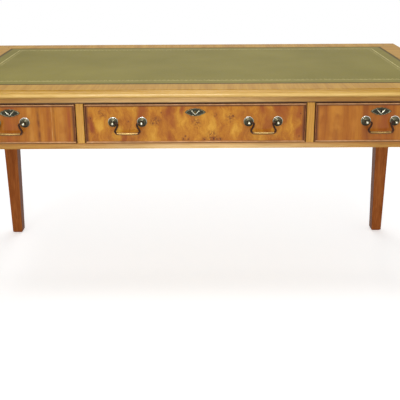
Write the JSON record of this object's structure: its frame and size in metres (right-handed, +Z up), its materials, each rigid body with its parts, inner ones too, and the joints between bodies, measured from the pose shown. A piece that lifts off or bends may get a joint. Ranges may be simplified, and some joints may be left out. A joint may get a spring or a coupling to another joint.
{
  "type": "writing table",
  "caption": "Rectangular writing table with an inset leather top, a row of frieze drawers with drop handles, and square tapered legs.",
  "frame": {"origin": "on the floor under the middle of the top", "axes": "+X along the top to the user's right, -Y towards the user and the drawers' pull, +Z up"},
  "size_m": [1.524, 0.7698, 0.762],
  "materials": {
    "yew_light": "polished golden yew",
    "yew_burr": "polished burr yew veneer",
    "yew_leg": "polished brown yew",
    "bead_dark": "dark polished bead",
    "drawer_lining": "bare pale hardwood",
    "green_leather": "waxed olive green hide",
    "antique_brass": "darkened brass",
    "lock_brass": "plain brass"
  },
  "bodies": {
    "table": {"top_board": "yew_light", "leather_inset": "green_leather", "edge_front": "yew_light", "edge_back": "yew_light", "edge_left": "yew_light", "edge_right": "yew_light", "leg_front_left": "yew_leg", "leg_front_right": "yew_leg", "leg_back_left": "yew_leg", "leg_back_right": "yew_leg", "front_rail_top": "yew_light", "front_rail_bottom": "yew_light", "front_divider_left": "yew_light", "front_divider_right": "yew_light", "apron_back": "yew_leg", "apron_left": "yew_leg", "apron_right": "yew_leg", "drawer_guide_left": "drawer_lining", "drawer_guide_right": "drawer_lining", "drawer_partition_left": "drawer_lining", "drawer_partition_right": "drawer_lining"},
    "left_drawer": {"left_drawer_front": "yew_burr", "left_cock_bead": "bead_dark", "left_drawer_side_left": "drawer_lining", "left_drawer_side_right": "drawer_lining", "left_drawer_back": "drawer_lining", "left_drawer_bottom": "drawer_lining", "left_escutcheon": "antique_brass", "left_lock_case": "lock_brass", "left_handle_post_left": "antique_brass", "left_handle_post_right": "antique_brass"},
    "left_bail": {"left_handle_bail": "antique_brass"},
    "left_lock_bolt": {"left_lock_bolt": "lock_brass"},
    "middle_drawer": {"middle_drawer_front": "yew_burr", "middle_cock_bead": "bead_dark", "middle_drawer_side_left": "drawer_lining", "middle_drawer_side_right": "drawer_lining", "middle_drawer_back": "drawer_lining", "middle_drawer_bottom": "drawer_lining", "middle_escutcheon": "antique_brass", "middle_lock_case": "lock_brass", "middle_handle_left_post_left": "antique_brass", "middle_handle_left_post_right": "antique_brass", "middle_handle_right_post_left": "antique_brass", "middle_handle_right_post_right": "antique_brass"},
    "middle_bail_left": {"middle_handle_left_bail": "antique_brass"},
    "middle_bail_right": {"middle_handle_right_bail": "antique_brass"},
    "middle_lock_bolt": {"middle_lock_bolt": "lock_brass"},
    "right_drawer": {"right_drawer_front": "yew_burr", "right_cock_bead": "bead_dark", "right_drawer_side_left": "drawer_lining", "right_drawer_side_right": "drawer_lining", "right_drawer_back": "drawer_lining", "right_drawer_bottom": "drawer_lining", "right_escutcheon": "antique_brass", "right_lock_case": "lock_brass", "right_handle_post_left": "antique_brass", "right_handle_post_right": "antique_brass"},
    "right_bail": {"right_handle_bail": "antique_brass"},
    "right_lock_bolt": {"right_lock_bolt": "lock_brass"}
  },
  "joints": [
    {"name": "left_drawer_slide", "type": "slide", "parent": "table", "child": "left_drawer", "axis": [0, -1, 0], "range_m": [0, 0.36]},
    {"name": "left_bail_hinge", "type": "hinge", "parent": "left_drawer", "child": "left_bail", "pos_m": [-0.5115, -0.382, 0.6706], "axis": [-1, 0, 0], "range_deg": [-18, 190]},
    {"name": "left_lock_bolt_slide", "type": "slide", "parent": "left_drawer", "child": "left_lock_bolt", "axis": [0, 0, 1], "range_m": [0, 0.007]},
    {"name": "middle_drawer_slide", "type": "slide", "parent": "table", "child": "middle_drawer", "axis": [0, -1, 0], "range_m": [0, 0.36]},
    {"name": "middle_bail_left_hinge", "type": "hinge", "parent": "middle_drawer", "child": "middle_bail_left", "pos_m": [-0.1875, -0.382, 0.6706], "axis": [-1, 0, 0], "range_deg": [-18, 190]},
    {"name": "middle_bail_right_hinge", "type": "hinge", "parent": "middle_drawer", "child": "middle_bail_right", "pos_m": [0.1875, -0.382, 0.6706], "axis": [-1, 0, 0], "range_deg": [-18, 190]},
    {"name": "middle_lock_bolt_slide", "type": "slide", "parent": "middle_drawer", "child": "middle_lock_bolt", "axis": [0, 0, 1], "range_m": [0, 0.007]},
    {"name": "right_drawer_slide", "type": "slide", "parent": "table", "child": "right_drawer", "axis": [0, -1, 0], "range_m": [0, 0.36]},
    {"name": "right_bail_hinge", "type": "hinge", "parent": "right_drawer", "child": "right_bail", "pos_m": [0.5115, -0.382, 0.6706], "axis": [-1, 0, 0], "range_deg": [-18, 190]},
    {"name": "right_lock_bolt_slide", "type": "slide", "parent": "right_drawer", "child": "right_lock_bolt", "axis": [0, 0, 1], "range_m": [0, 0.007]}
  ]
}
